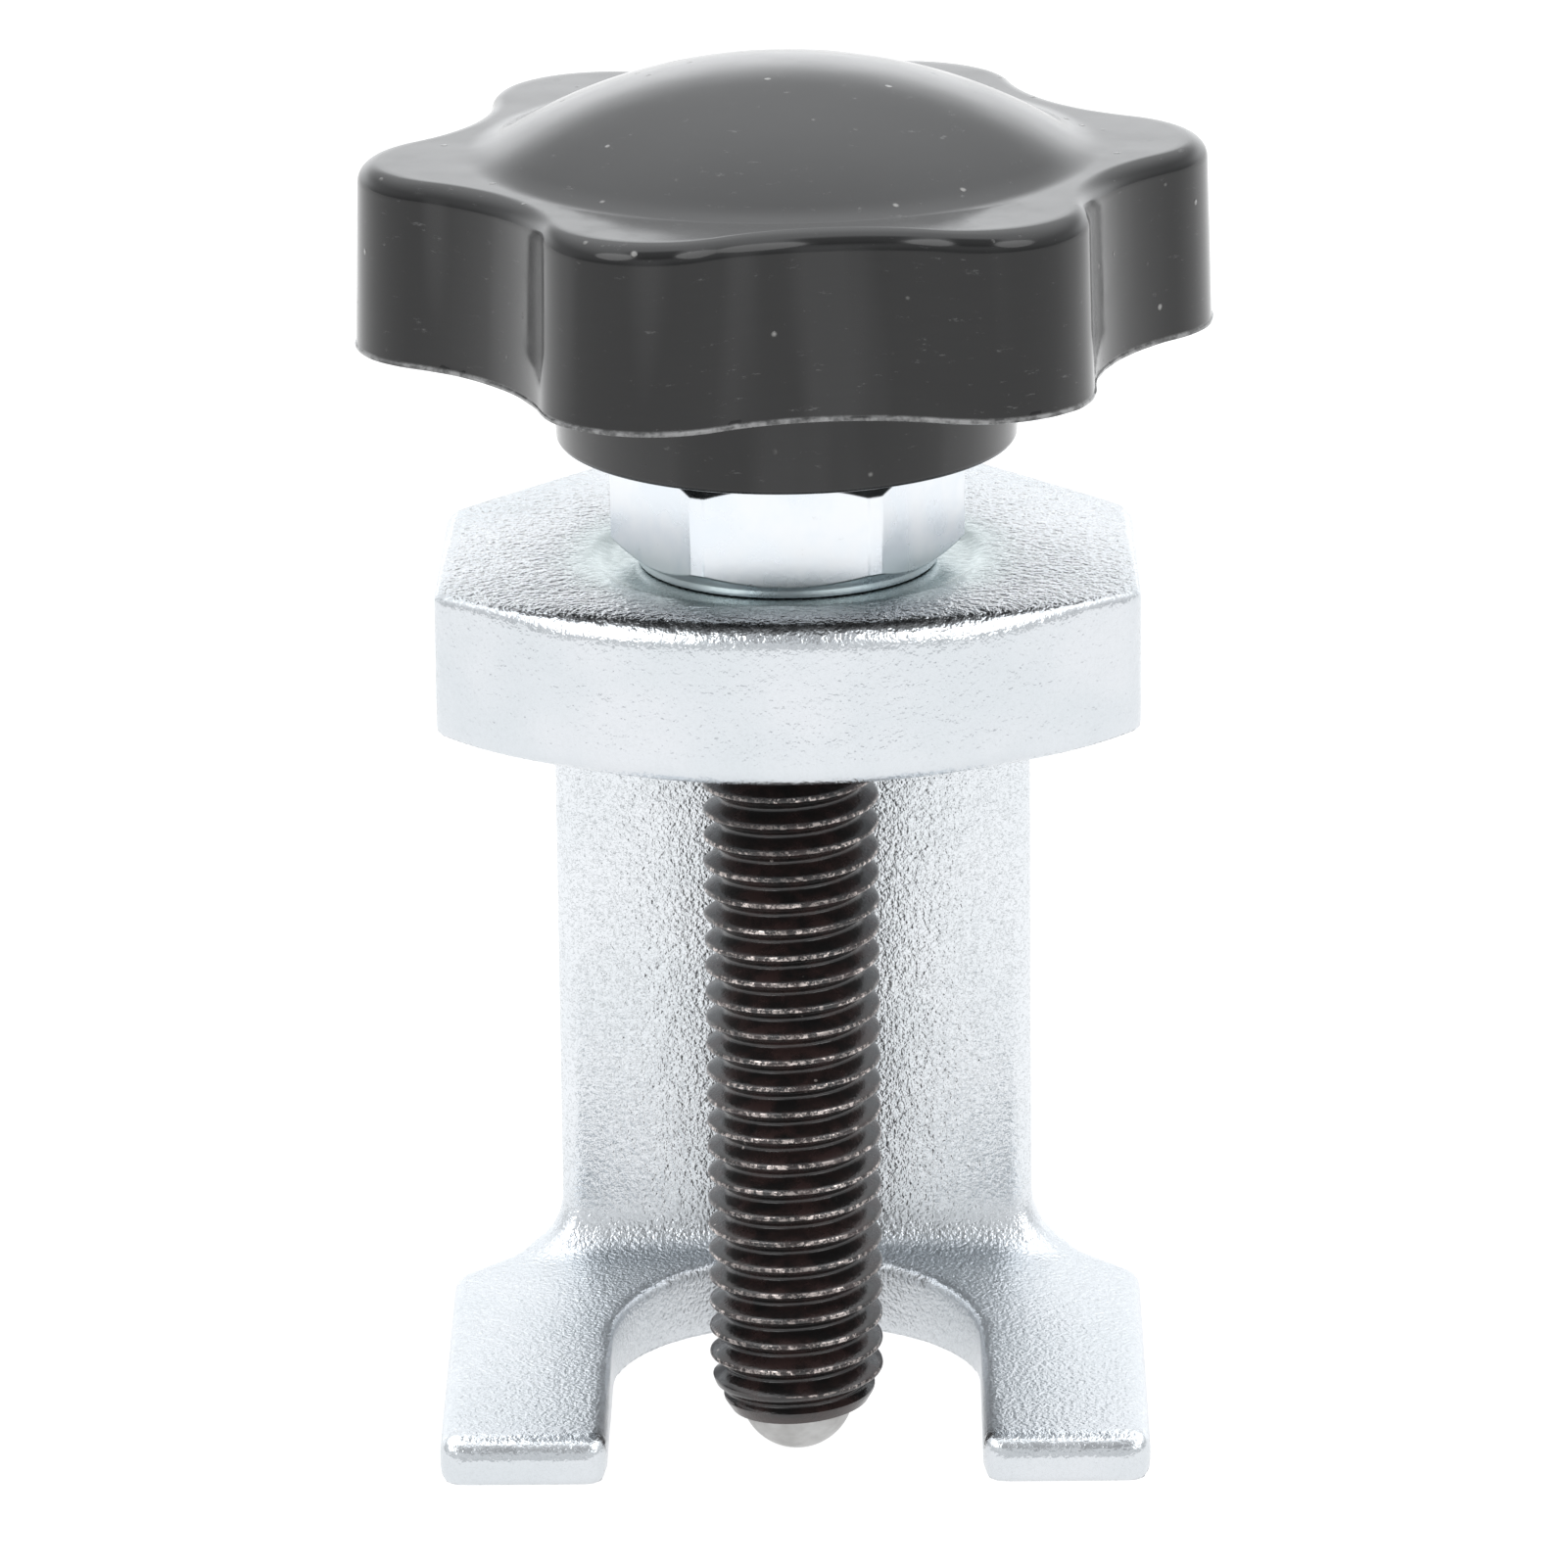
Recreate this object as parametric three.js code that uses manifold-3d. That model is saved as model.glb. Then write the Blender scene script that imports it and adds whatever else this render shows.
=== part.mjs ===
// Ball joint separator of the screw-press kind: a forged C-shaped frame whose fork hooks under the part
// to be freed, and an M10 pressure screw with a captive ball tip, a jam nut and a star knob.
// Units are millimetres, +Z up, the screw's axis is the Z axis and the ball's lowest point is z = 0.
import * as THREE from "three";
import { mergeVertices } from "three/addons/utils/BufferGeometryUtils.js";
import Module from "manifold-3d";

const wasm = await Module();
wasm.setup();

// ---------------------------------------------------------------- driving dimensions

const CLEARANCE = 0.18; // radial play between a screw thread and the thread it runs in
const EDGE_STEPS = 3; // facets across a quarter-round edge
const OVERLAP = 1; // how far joined solids run into each other and cutters run past a surface

// The screw is driven fully home: its ball stands this far below the fork's underside.
const FORK_Z = 3.05;

const thread = {
  pitch: 1.5,
  crestRadius: 4.8,
  depth: 0.92,
  crestFlat: 1 / 8, // share of the pitch
  rootFlat: 1 / 4,
  phase: -0.42, // turns by which the helix is shifted along the axis
  steps: 16, // facets in one turn
};

const plate = {
  bottom: FORK_Z + 39.75,
  top: FORK_Z + 48.45,
  halfWidth: 19.0,
  frontCornerY: -6.1,
  frontY: -14.6,
  sideBackY: 11.4,
  cornerRadius: 1.3,
  edgeRadius: 1.1,
  spotFaceRadius: 10.2,
  spotFaceDepth: 0.25,
  holeChamfer: 0.5,
};

const web = {
  halfWidth: 13.3,
  frontY: 12.04,
  backY: 20.0,
  backChamfer: 2.9,
  cornerRadius: 1.1,
  filletRadius: 1.8,
};

const fork = {
  halfWidth: 19.3,
  tipY: -14.4,
  sideBackY: 9.0,
  tipThickness: 2.65,
  slope: 0.055, // how much thicker the fork gets for each millimetre towards the web
  notchRadius: 10.2,
  cornerRadius: 1.2,
  edgeRadius: 0.8,
  undersideEdgeRadius: 0.4,
  notchEdgeRadius: 0.3,
  webCornerRadius: 1.0,
};

const ball = { radius: 3.175 };

const screw = {
  tipFace: FORK_Z - 0.75,
  top: FORK_Z + 65.2,
  endChamfer: 0.9,
  noseRadius: 3.6,
  noseLength: 2.4,
  pocketRadius: 3.3,
  lipRadius: 3.12,
  lipHeight: 0.6,
};

const nut = {
  seatGap: 0.05,
  height: 6.5,
  acrossFlats: 17.0,
  faceRadius: 8.16,
  cornerRadius: 9.58,
  washerHeight: 0.5, // the turned face it bears on
  chamferAngle: 30,
  threadChamfer: 0.3,
};

const knob = {
  bossBottom: FORK_Z + 55.15,
  starBottom: FORK_Z + 60.9,
  starTop: FORK_Z + 71.0,
  domeTop: FORK_Z + 75.7,
  lobes: 6,
  lobeAngle: 6.9, // degrees from +X to the first lobe
  tipRadius: 23.0,
  lobeRadius: 6.1,
  valleyRadius: 18.9,
  draft: 0.12,
  edgeRadius: 1.1,
  bossBaseRadius: 12.7,
  bossEndRadius: 12.45,
  bossEdge: 0.3,
  domeRadius: 16.1,
  domeFillet: 1.0, // how far the hollow round the dome reaches on either side of its edge
  domeSteps: 9,
  lobeSteps: 8,
  valleySteps: 5,
  roundSteps: 48,
};

const insert = {
  bottom: FORK_Z + 54.95,
  length: 11.0,
  acrossFlats: 14.0,
  cornerRadius: 7.7,
  grooveRadius: 6.3,
  grooveWidth: 2.4,
  grip: 0.15, // gap left between the bush and the plastic moulded round it
  chamfer: 0.6,
  threadChamfer: 0.3,
};

// ---------------------------------------------------------------- solids from outlines

const radians = THREE.MathUtils.degToRad;

/** Welds a geometry's vertices, drops collapsed triangles and hands it to the boolean kernel. */
function solid(geometry) {
  geometry.deleteAttribute("normal");
  geometry.deleteAttribute("uv");
  const welded = mergeVertices(geometry, 1e-4);
  const index = welded.index.array;
  const kept = [];
  for (let i = 0; i < index.length; i += 3) {
    const [a, b, c] = [index[i], index[i + 1], index[i + 2]];
    if (a !== b && b !== c && c !== a) {
      kept.push(a, b, c);
    }
  }
  return new wasm.Manifold(
    new wasm.Mesh({
      numProp: 3,
      vertProperties: new Float32Array(welded.attributes.position.array),
      triVerts: new Uint32Array(kept),
    }),
  );
}

/** A solid of revolution round Z. The profile is [radius, z] pairs, from the axis back to the axis. */
function revolve(profile, steps) {
  const points = profile.map(([radius, z]) => new THREE.Vector2(radius, z));
  return solid(new THREE.LatheGeometry(points, steps).rotateX(Math.PI / 2));
}

/** A closed solid through rings of points, from the lowest ring to the highest, anticlockwise from above. */
function loft(rings) {
  const count = rings[0].length;
  const positions = rings.flat().flatMap((p) => [p.x, p.y, p.z]);
  const index = [];
  for (let ring = 0; ring + 1 < rings.length; ring += 1) {
    for (let i = 0; i < count; i += 1) {
      const a = ring * count + i;
      const b = ring * count + ((i + 1) % count);
      index.push(a, b, b + count, a, b + count, a + count);
    }
  }
  const flat = (ring) => ring.map((p) => new THREE.Vector2(p.x, p.y));
  for (const [a, b, c] of THREE.ShapeUtils.triangulateShape(flat(rings[0]), [])) {
    index.push(c, b, a);
  }
  const top = (rings.length - 1) * count;
  for (const [a, b, c] of THREE.ShapeUtils.triangulateShape(flat(rings.at(-1)), [])) {
    index.push(top + a, top + b, top + c);
  }
  const geometry = new THREE.BufferGeometry();
  geometry.setAttribute("position", new THREE.Float32BufferAttribute(positions, 3));
  geometry.setIndex(index);
  return solid(geometry);
}

/** Moves each point of an anticlockwise outline inwards by insetAt(point); a negative inset moves it out. */
function inset(outline, insetAt) {
  return outline.map((point, i) => {
    const before = outline[(i + outline.length - 1) % outline.length];
    const after = outline[(i + 1) % outline.length];
    const into = new THREE.Vector2().subVectors(point, before).normalize();
    const out = new THREE.Vector2().subVectors(after, point).normalize();
    const mitre = new THREE.Vector2(-into.y - out.y, into.x + out.x).divideScalar(1 + into.dot(out));
    return point.clone().addScaledVector(mitre, insetAt(point));
  });
}

/** Rounds the corners of an outline of [x, y, radius] entries; a missing radius leaves a corner sharp. */
function roundCorners(corners, steps = EDGE_STEPS) {
  return corners.flatMap(([x, y, radius = 0], i) => {
    const corner = new THREE.Vector2(x, y);
    if (radius === 0) {
      return [corner];
    }
    const [bx, by] = corners[(i + corners.length - 1) % corners.length];
    const [ax, ay] = corners[(i + 1) % corners.length];
    const back = new THREE.Vector2(bx - x, by - y).normalize();
    const ahead = new THREE.Vector2(ax - x, ay - y).normalize();
    const half = Math.acos(back.dot(ahead)) / 2;
    const middle = back.clone().add(ahead).normalize();
    const centre = corner.clone().addScaledVector(middle, radius / Math.sin(half));
    const start = corner.clone().addScaledVector(back, radius / Math.tan(half)).sub(centre);
    const turn = Math.sign(ahead.cross(back)) * (Math.PI - 2 * half);
    return Array.from({ length: steps + 1 }, (_, k) =>
      start.clone().rotateAround(new THREE.Vector2(), (turn * k) / steps).add(centre),
    );
  });
}

/** Points on an arc about (centreX, centreY), without its two ends. */
function arc(centreX, centreY, radius, from, to, steps) {
  return Array.from({ length: steps - 1 }, (_, k) => {
    const angle = from + ((to - from) * (k + 1)) / steps;
    return [centreX + radius * Math.cos(angle), centreY + radius * Math.sin(angle)];
  });
}

/** A slab with quarter-round edges. bottomAt, topAt and the radii are functions of a point of the outline. */
function roundedSlab(outline, { bottomAt, topAt, bottomRadius, topRadius }) {
  const rings = [];
  for (let k = 0; k <= EDGE_STEPS; k += 1) {
    const angle = (Math.PI / 2) * (k / EDGE_STEPS);
    const points = inset(outline, (p) => bottomRadius(p) * (1 - Math.sin(angle)));
    const lift = (p) => bottomRadius(p) * (1 - Math.cos(angle));
    rings.push(points.map((p, i) => new THREE.Vector3(p.x, p.y, bottomAt(p) + lift(outline[i]))));
  }
  for (let k = EDGE_STEPS; k >= 0; k -= 1) {
    const angle = (Math.PI / 2) * (k / EDGE_STEPS);
    const points = inset(outline, (p) => topRadius(p) * (1 - Math.sin(angle)));
    const drop = (p) => topRadius(p) * (1 - Math.cos(angle));
    rings.push(points.map((p, i) => new THREE.Vector3(p.x, p.y, topAt(p) - drop(outline[i]))));
  }
  return loft(rings);
}

/** A straight prism over an outline. */
function prism(outline, bottom, top) {
  return loft([bottom, top].map((z) => outline.map((p) => new THREE.Vector3(p.x, p.y, z))));
}

/** A hexagonal prism with its corners cut back by the turned profile given. */
function hexagon(acrossFlats, profile, steps) {
  const corner = acrossFlats / 2 / Math.cos(Math.PI / 6);
  const outline = Array.from({ length: 6 }, (_, i) => {
    const angle = (Math.PI / 3) * i;
    return new THREE.Vector2(corner * Math.cos(angle), corner * Math.sin(angle));
  });
  const heights = profile.map(([, z]) => z);
  return prism(outline, Math.min(...heights), Math.max(...heights)).intersect(revolve(profile, steps));
}

// ---------------------------------------------------------------- threads

/**
 * A right-hand threaded rod that covers bottom to top and runs a little past both.
 * growth swells it all over, which turns it into the tap for a matching hole.
 */
function threadedRod(bottom, top, growth = 0) {
  const { pitch, crestRadius, depth, crestFlat, rootFlat, phase, steps } = thread;
  const crest = crestRadius + growth;
  const root = crestRadius - depth + growth;
  const flank = (1 - crestFlat - rootFlat) / 2;
  const section = [
    [root, 0],
    [root, rootFlat],
    [crest, rootFlat + flank],
    [crest, rootFlat + flank + crestFlat],
  ];
  const firstTurn = Math.floor(bottom / pitch) - 1;
  const lastTurn = Math.ceil(top / pitch) + 1;
  const rows = [];
  for (let turn = firstTurn; turn < lastTurn; turn += 1) {
    rows.push(...section.map(([radius, share]) => [radius, (turn + share + phase) * pitch]));
  }
  rows.push([root, (lastTurn + phase) * pitch]);

  // Column 0 holds every row. The last column lies on it, one pitch up, and adds only the rows past its top.
  const positions = [];
  const turnRows = section.length;
  const vertex = (column, row) => {
    if (column < steps) {
      return column * rows.length + row;
    }
    const upper = row + turnRows;
    return upper < rows.length ? upper : steps * rows.length + upper - rows.length;
  };
  const place = (column, [radius, z]) => {
    const angle = (2 * Math.PI * column) / steps;
    positions.push(radius * Math.cos(angle), radius * Math.sin(angle), z + (pitch * column) / steps);
  };
  for (let column = 0; column < steps; column += 1) {
    rows.forEach((row) => place(column, row));
  }
  rows.slice(-turnRows).forEach((row) => place(steps, row));
  const lowCentre = positions.length / 3;
  const highCentre = lowCentre + 1;
  const last = rows.length - 1;
  positions.push(0, 0, rows[0][1], 0, 0, rows[last][1] + pitch);

  const index = [];
  for (let column = 0; column < steps; column += 1) {
    for (let row = 0; row < last; row += 1) {
      const [a, b] = [vertex(column, row), vertex(column + 1, row)];
      const [d, c] = [vertex(column, row + 1), vertex(column + 1, row + 1)];
      index.push(a, b, c, a, c, d);
    }
    index.push(lowCentre, vertex(column + 1, 0), vertex(column, 0));
    index.push(highCentre, vertex(column, last), vertex(column + 1, last));
  }
  // Each end steps up by one pitch where the helix closes on itself.
  for (let row = 0; row < turnRows; row += 1) {
    index.push(lowCentre, vertex(0, row), vertex(0, row + 1));
    index.push(highCentre, vertex(steps, last - row), vertex(steps, last - row - 1));
  }
  const geometry = new THREE.BufferGeometry();
  geometry.setAttribute("position", new THREE.Float32BufferAttribute(positions, 3));
  geometry.setIndex(index);
  return solid(geometry);
}

/** The tool that leaves a threaded hole from bottom to top, with a chamfer at each mouth. */
function tap(bottom, top, chamfer) {
  const reach = thread.crestRadius + CLEARANCE + chamfer;
  const bore = thread.crestRadius - thread.depth + CLEARANCE;
  const mouths = revolve(
    [
      [0, bottom - OVERLAP],
      [reach + OVERLAP, bottom - OVERLAP],
      [bore, bottom + reach - bore],
      [bore, top - reach + bore],
      [reach + OVERLAP, top + OVERLAP],
      [0, top + OVERLAP],
    ],
    2 * thread.steps,
  );
  const sleeve = revolve(
    [
      [0, bottom - OVERLAP],
      [reach + OVERLAP, bottom - OVERLAP],
      [reach + OVERLAP, top + OVERLAP],
      [0, top + OVERLAP],
    ],
    2 * thread.steps,
  );
  return threadedRod(bottom, top, CLEARANCE).intersect(sleeve).add(mouths);
}

// ---------------------------------------------------------------- the pieces

function plateOutline() {
  const sagitta = plate.frontCornerY - plate.frontY;
  const radius = (plate.halfWidth ** 2 + sagitta ** 2) / (2 * sagitta);
  const centreY = plate.frontY + radius;
  const spread = Math.asin(plate.halfWidth / radius);
  const down = -Math.PI / 2;
  const backCorner = plate.halfWidth - (web.backY - plate.sideBackY);
  return roundCorners([
    [-plate.halfWidth, plate.frontCornerY, plate.cornerRadius],
    ...arc(0, centreY, radius, down - spread, down + spread, 14),
    [plate.halfWidth, plate.frontCornerY, plate.cornerRadius],
    [plate.halfWidth, plate.sideBackY, plate.cornerRadius],
    [backCorner, web.backY, plate.cornerRadius],
    [-backCorner, web.backY, plate.cornerRadius],
    [-plate.halfWidth, plate.sideBackY, plate.cornerRadius],
  ]);
}

function webOutline() {
  const { halfWidth, frontY, backY, backChamfer, cornerRadius } = web;
  return roundCorners([
    [-halfWidth, frontY, cornerRadius],
    [halfWidth, frontY, cornerRadius],
    [halfWidth, backY - backChamfer, cornerRadius],
    [halfWidth - backChamfer, backY, cornerRadius],
    [backChamfer - halfWidth, backY, cornerRadius],
    [-halfWidth, backY - backChamfer, cornerRadius],
  ]);
}

function forkOutline() {
  const { halfWidth, tipY, sideBackY, notchRadius, cornerRadius, webCornerRadius } = fork;
  const meetY = sideBackY + halfWidth - web.halfWidth;
  const { backY, backChamfer } = web;
  const right = [
    [halfWidth, tipY, cornerRadius],
    [halfWidth, sideBackY, cornerRadius],
    [web.halfWidth, meetY, webCornerRadius],
    [web.halfWidth, backY - backChamfer, web.cornerRadius],
    [web.halfWidth - backChamfer, backY, web.cornerRadius],
  ];
  const left = right.map(([x, y, radius]) => [-x, y, radius]).reverse();
  return roundCorners([
    [-notchRadius, tipY, cornerRadius],
    [-notchRadius, 0],
    ...arc(0, 0, notchRadius, Math.PI, 0, 18),
    [notchRadius, 0],
    [notchRadius, tipY, cornerRadius],
    ...right,
    ...left,
  ]);
}

/** The web, flared at both ends by a concave fillet. */
function flaredWeb() {
  const outline = webOutline();
  const { filletRadius } = web;
  const foot = FORK_Z + fork.tipThickness + fork.slope * (web.frontY - fork.tipY);
  const steps = 2 * EDGE_STEPS;
  const stations = [[foot - OVERLAP, 1]];
  for (let k = 0; k <= steps; k += 1) {
    const angle = (Math.PI / 2) * (k / steps);
    stations.push([foot + filletRadius * (1 - Math.cos(angle)), 1 - Math.sin(angle)]);
  }
  for (let k = steps; k >= 0; k -= 1) {
    const angle = (Math.PI / 2) * (k / steps);
    stations.push([plate.bottom - filletRadius * (1 - Math.cos(angle)), 1 - Math.sin(angle)]);
  }
  stations.push([plate.bottom + OVERLAP, 1]);
  return loft(
    stations.map(([z, flare]) =>
      inset(outline, () => -filletRadius * flare).map((p) => new THREE.Vector3(p.x, p.y, z)),
    ),
  );
}

function makeFrame() {
  const upper = roundedSlab(plateOutline(), {
    bottomAt: () => plate.bottom,
    topAt: () => plate.top,
    bottomRadius: () => plate.edgeRadius,
    topRadius: () => plate.edgeRadius,
  });
  const inNotch = (p) => Math.abs(p.x) < fork.notchRadius + CLEARANCE && p.y > fork.tipY + fork.cornerRadius;
  const lower = roundedSlab(forkOutline(), {
    bottomAt: () => FORK_Z,
    topAt: (p) => FORK_Z + fork.tipThickness + fork.slope * (p.y - fork.tipY),
    bottomRadius: (p) => (inNotch(p) ? fork.notchEdgeRadius : fork.undersideEdgeRadius),
    topRadius: (p) => (inNotch(p) ? fork.notchEdgeRadius : fork.edgeRadius),
  });
  const middle = (plate.bottom + FORK_Z) / 2;
  const envelope = prism(forkOutline(), FORK_Z, middle).add(prism(plateOutline(), middle, plate.top));
  const spotFace = plate.top - plate.spotFaceDepth;
  const spotFaceCutter = revolve(
    [
      [0, spotFace],
      [plate.spotFaceRadius, spotFace],
      [plate.spotFaceRadius + 2 * OVERLAP, plate.top + OVERLAP],
      [0, plate.top + OVERLAP],
    ],
    40,
  );
  return flaredWeb()
    .intersect(envelope)
    .add(upper)
    .add(lower)
    .subtract(spotFaceCutter)
    .subtract(tap(plate.bottom, spotFace, plate.holeChamfer));
}

function makeBall() {
  const steps = 12;
  const profile = Array.from({ length: steps + 1 }, (_, i) => {
    const angle = (Math.PI * i) / steps - Math.PI / 2;
    return [ball.radius * Math.cos(angle), ball.radius * (1 + Math.sin(angle))];
  });
  return revolve(profile, 24);
}

function makeScrew() {
  const { tipFace, top, endChamfer, noseRadius, noseLength, pocketRadius, lipRadius, lipHeight } = screw;
  const reach = thread.crestRadius + CLEARANCE;
  const blank = revolve(
    [
      [0, tipFace],
      [noseRadius, tipFace],
      [reach, tipFace + noseLength],
      [reach, top - endChamfer],
      [reach - endChamfer, top],
      [0, top],
    ],
    2 * thread.steps,
  );
  const pocketTop = 2 * ball.radius + CLEARANCE;
  const pocket = revolve(
    [
      [0, tipFace - OVERLAP],
      [lipRadius, tipFace - OVERLAP],
      [lipRadius, tipFace],
      [pocketRadius, tipFace + lipHeight],
      [pocketRadius, pocketTop],
      [0, pocketTop + pocketRadius / 2],
    ],
    24,
  );
  return threadedRod(tipFace, top).intersect(blank).subtract(pocket);
}

function makeNut() {
  const { faceRadius, cornerRadius, washerHeight } = nut;
  const bottom = plate.top - plate.spotFaceDepth + nut.seatGap;
  const top = bottom + nut.height;
  const chamfer = (cornerRadius - faceRadius) * Math.tan(radians(nut.chamferAngle));
  const profile = [
    [0, bottom],
    [faceRadius, bottom],
    [faceRadius, bottom + washerHeight],
    [cornerRadius, bottom + washerHeight + chamfer],
    [cornerRadius, top - chamfer],
    [faceRadius, top],
    [0, top],
  ];
  return hexagon(nut.acrossFlats, profile, 48).subtract(tap(bottom, top, nut.threadChamfer));
}

/** The turned profile of the knob's bush, swollen by growth. */
function insertProfile(growth = 0) {
  const { bottom, length, cornerRadius, grooveRadius, grooveWidth, chamfer } = insert;
  const top = bottom + length;
  const middle = bottom + length / 2;
  const outer = cornerRadius + growth;
  const groove = grooveRadius + growth;
  const half = grooveWidth / 2 - growth;
  return [
    [0, bottom - growth],
    [outer - chamfer, bottom - growth],
    [outer, bottom + chamfer],
    [outer, middle - half],
    [groove, middle - half],
    [groove, middle + half],
    [outer, middle + half],
    [outer, top - chamfer],
    [outer - chamfer, top + growth],
    [0, top + growth],
  ];
}

function makeInsert() {
  const { bottom, length, acrossFlats, threadChamfer } = insert;
  return hexagon(acrossFlats, insertProfile(), 36).subtract(tap(bottom, bottom + length, threadChamfer));
}

/** Points round part of a circle, both ends included. */
function sweep(centre, radius, from, to, steps) {
  return Array.from({ length: steps + 1 }, (_, k) => {
    const angle = from + ((to - from) * k) / steps;
    return new THREE.Vector2(centre.x + radius * Math.cos(angle), centre.y + radius * Math.sin(angle));
  });
}

/** The star's outline: convex lobes and shallow concave valleys, all arcs that meet tangentially. */
function starOutline() {
  const { lobes, lobeAngle, tipRadius, lobeRadius, valleyRadius, lobeSteps, valleySteps } = knob;
  const half = Math.PI / lobes;
  const lobeDistance = tipRadius - lobeRadius;
  const along = lobeDistance * Math.cos(half);
  // The valley's arc touches the lobe's arc and passes through the valley's deepest point.
  const scoopRadius =
    (lobeDistance ** 2 + valleyRadius ** 2 - 2 * along * valleyRadius - lobeRadius ** 2) /
    (2 * (lobeRadius - valleyRadius + along));
  const scoopDistance = valleyRadius + scoopRadius;
  const slant = Math.atan2(scoopDistance * Math.sin(half), scoopDistance * Math.cos(half) - lobeDistance);
  const scoopHalf = slant - half;
  const origin = new THREE.Vector2();
  const outline = [];
  for (let lobe = 0; lobe < lobes; lobe += 1) {
    const axis = radians(lobeAngle) + 2 * half * lobe;
    const centre = new THREE.Vector2(lobeDistance, 0).rotateAround(origin, axis);
    outline.push(...sweep(centre, lobeRadius, axis - slant, axis + slant, lobeSteps));
    const next = axis + half;
    const inwards = next + Math.PI;
    const scoop = new THREE.Vector2(scoopDistance, 0).rotateAround(origin, next);
    const valley = sweep(scoop, scoopRadius, inwards + scoopHalf, inwards - scoopHalf, valleySteps);
    outline.push(...valley.slice(1, -1));
  }
  return outline;
}

function makeKnob() {
  const { starBottom, starTop, draft, edgeRadius, bossBottom, domeTop } = knob;
  const outline = starOutline();
  const rings = [inset(outline, () => -draft).map((p) => new THREE.Vector3(p.x, p.y, starBottom))];
  for (let k = EDGE_STEPS; k >= 0; k -= 1) {
    const angle = (Math.PI / 2) * (k / EDGE_STEPS);
    const z = starTop - edgeRadius * (1 - Math.cos(angle));
    const points = inset(outline, () => draft + edgeRadius * (1 - Math.sin(angle)));
    rings.push(points.map((p) => new THREE.Vector3(p.x, p.y, z)));
  }
  const star = loft(rings);

  // The boss below and the dome above are one turned core that is sunk into the star.
  const { domeRadius, domeFillet, domeSteps } = knob;
  const rise = domeTop - starTop;
  const sphere = (domeRadius ** 2 + rise ** 2) / (2 * rise);
  const domeHeight = (radius) => domeTop - sphere + Math.sqrt(sphere ** 2 - radius ** 2);
  const innerRadius = domeRadius - domeFillet;
  const profile = [
    [0, bossBottom],
    [knob.bossEndRadius - knob.bossEdge, bossBottom],
    [knob.bossEndRadius, bossBottom + knob.bossEdge],
    [knob.bossBaseRadius, starBottom + OVERLAP],
    [domeRadius, starTop - OVERLAP],
    [domeRadius + domeFillet, starTop],
    [domeRadius, starTop + (domeHeight(innerRadius) - starTop) / 4],
  ];
  for (let k = 0; k <= domeSteps; k += 1) {
    const radius = innerRadius * (1 - k / domeSteps);
    profile.push([radius, domeHeight(radius)]);
  }
  const core = revolve(profile, knob.roundSteps);
  const socket = hexagon(insert.acrossFlats + 2 * insert.grip, insertProfile(insert.grip), 36);
  const socketTop = insert.bottom + insert.length;
  const mouth = revolve(
    [
      [0, bossBottom - OVERLAP],
      [insert.cornerRadius + insert.grip, bossBottom - OVERLAP],
      [insert.cornerRadius + insert.grip, insert.bottom + insert.chamfer],
      [0, insert.bottom + insert.chamfer],
    ],
    36,
  );
  const endRoom = thread.crestRadius + 2 * CLEARANCE;
  const screwEnd = revolve(
    [
      [0, socketTop - OVERLAP],
      [endRoom, socketTop - OVERLAP],
      [endRoom, socketTop + OVERLAP],
      [0, socketTop + OVERLAP],
    ],
    36,
  );
  return star.add(core).subtract(socket).subtract(mouth).subtract(screwEnd);
}

// ---------------------------------------------------------------- finished part

const finishes = {
  zincForging: { color: 0xc9d0d6, roughness: 0.42, metalness: 1.0 },
  zincNut: { color: 0xd6dce1, roughness: 0.25, metalness: 1.0 },
  blackOxide: { color: 0x1d1715, roughness: 0.45, metalness: 0.8 },
  groundSteel: { color: 0xb9bcc0, roughness: 0.3, metalness: 1.0 },
  glossBlack: { color: 0x0c0c0d, roughness: 0.25, metalness: 0.0 },
  brass: { color: 0xb08d4a, roughness: 0.35, metalness: 1.0 },
};

/** Turns a solid into a named mesh with flat-faceted normals. */
function part(name, shape, finish) {
  const mesh = shape.getMesh();
  const geometry = new THREE.BufferGeometry();
  geometry.setAttribute("position", new THREE.BufferAttribute(new Float32Array(mesh.vertProperties), 3));
  geometry.setIndex(new THREE.BufferAttribute(new Uint32Array(mesh.triVerts), 1));
  geometry.computeVertexNormals();
  const item = new THREE.Mesh(geometry, new THREE.MeshStandardMaterial(finish));
  item.name = name;
  return item;
}

const separator = new THREE.Group();
separator.name = "ball_joint_separator";
separator.add(
  part("frame", makeFrame(), finishes.zincForging),
  part("pressure_screw", makeScrew(), finishes.blackOxide),
  part("tip_ball", makeBall(), finishes.groundSteel),
  part("hex_nut", makeNut(), finishes.zincNut),
  part("star_knob", makeKnob(), finishes.glossBlack),
  part("knob_insert", makeInsert(), finishes.brass),
);

export default separator;
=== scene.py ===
"""Looks for the ball joint separator: a zinc-plated forged frame, a black screw, a nut and a star knob.

Lengths are in millimetres unless a name says otherwise; meshes are scaled to metres as they are made.
"""
import math

import bmesh
import bpy
import numpy as np
from mathutils import Matrix, Vector


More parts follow.
